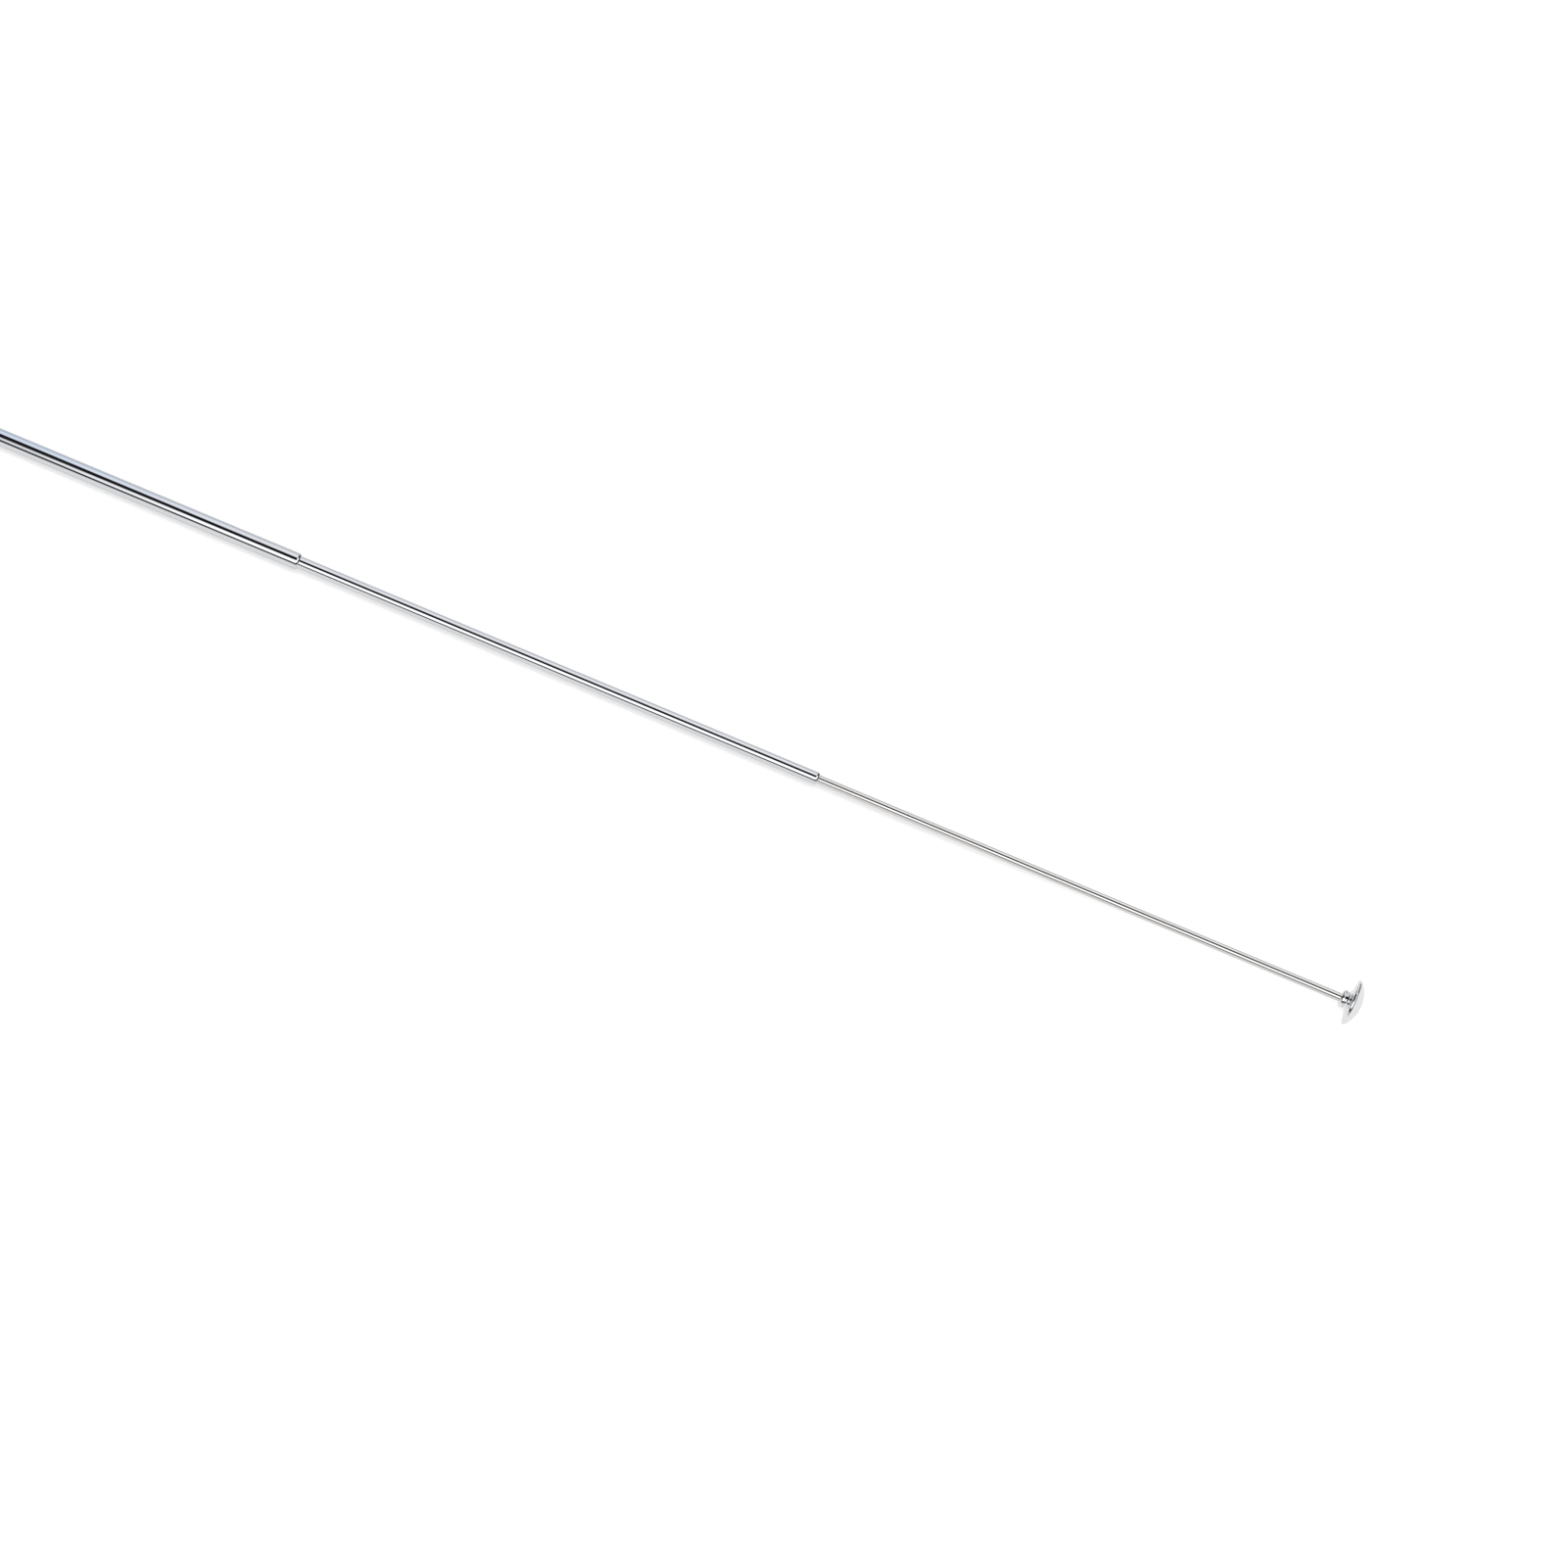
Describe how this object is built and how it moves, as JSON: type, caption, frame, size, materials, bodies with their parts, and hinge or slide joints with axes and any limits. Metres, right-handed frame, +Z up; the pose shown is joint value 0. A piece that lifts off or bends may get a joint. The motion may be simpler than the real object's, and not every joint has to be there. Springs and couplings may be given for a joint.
{
  "type": "telescopic antenna",
  "caption": "Telescopic whip antenna with chromed tubes drawn out to a thin rod and mushroom tip cap, on a folding and turning elbow with a small coaxial plug.",
  "frame": {"origin": "on the antenna's axis, in the reference plane of the coaxial plug, at the end face of its outer contact", "axes": "+X along the straight, drawn-out mast towards the tip cap; +Z up as the antenna lies on a table, square to two of the nut's flats and along the elbow's hinge screw"},
  "size_m": [0.8534, 0.0112, 0.0113],
  "materials": {
    "chrome_tube": "bright chrome plating on drawn brass tube",
    "chrome_elbow": "bright chrome plating on turned brass",
    "chrome_cap": "bright chrome plating on turned brass",
    "steel_rod": "polished stainless steel",
    "steel_small": "satin steel",
    "nickel_turned": "nickel plating on turned brass",
    "gold_contact": "gold plating",
    "brass_bush": "turned brass",
    "bronze_spring": "rolled phosphor bronze",
    "white_insulator": "waxy white fluoropolymer",
    "black_insulator": "turned black acetal",
    "silicone_gasket": "soft red silicone"
  },
  "bodies": {
    "plug": {"connector_shell": "nickel_turned", "insulator_bead": "white_insulator", "centre_pin": "gold_contact", "pin_spring": "gold_contact", "nut_retainer": "bronze_spring", "swivel_barrel": "nickel_turned", "insulating_sleeve": "black_insulator"},
    "nut": {"coupling_nut": "nickel_turned", "nut_gasket": "silicone_gasket"},
    "fork": {"elbow_yoke": "chrome_elbow", "spindle_clip": "steel_small", "wave_washer": "steel_small", "hinge_screw": "steel_small", "friction_washers": "bronze_spring"},
    "mast_base": {"elbow_tongue": "chrome_elbow", "base_tube": "chrome_tube"},
    "section_5": {"tube_5": "chrome_tube", "tube_5_bush": "brass_bush", "tube_5_spring": "bronze_spring"},
    "section_4": {"tube_4": "chrome_tube", "tube_4_bush": "brass_bush", "tube_4_spring": "bronze_spring"},
    "section_3": {"tube_3": "chrome_tube", "tube_3_bush": "brass_bush", "tube_3_spring": "bronze_spring"},
    "section_2": {"tube_2": "chrome_tube", "tube_2_bush": "brass_bush", "tube_2_spring": "bronze_spring"},
    "tip": {"tip_rod": "steel_rod", "rod_bush": "brass_bush", "rod_spring": "bronze_spring", "tip_cap": "chrome_cap"}
  },
  "joints": [
    {"name": "nut_spin", "type": "hinge", "parent": "plug", "child": "nut", "pos_m": [0, 0, 0], "axis": [1, 0, 0], "continuous": true},
    {"name": "base_swivel", "type": "hinge", "parent": "plug", "child": "fork", "pos_m": [0, 0, 0], "axis": [1, 0, 0], "continuous": true},
    {"name": "elbow_fold", "type": "hinge", "parent": "fork", "child": "mast_base", "pos_m": [0.0258, 0, 0], "axis": [0, 0, 1], "range_deg": [-90, 90]},
    {"name": "slide_5", "type": "slide", "parent": "mast_base", "child": "section_5", "axis": [1, 0, 0], "range_m": [-0.132, 0]},
    {"name": "slide_4", "type": "slide", "parent": "section_5", "child": "section_4", "axis": [1, 0, 0], "range_m": [-0.132, 0]},
    {"name": "slide_3", "type": "slide", "parent": "section_4", "child": "section_3", "axis": [1, 0, 0], "range_m": [-0.132, 0]},
    {"name": "slide_2", "type": "slide", "parent": "section_3", "child": "section_2", "axis": [1, 0, 0], "range_m": [-0.132, 0]},
    {"name": "rod_slide", "type": "slide", "parent": "section_2", "child": "tip", "axis": [1, 0, 0], "range_m": [-0.133, 0]}
  ]
}
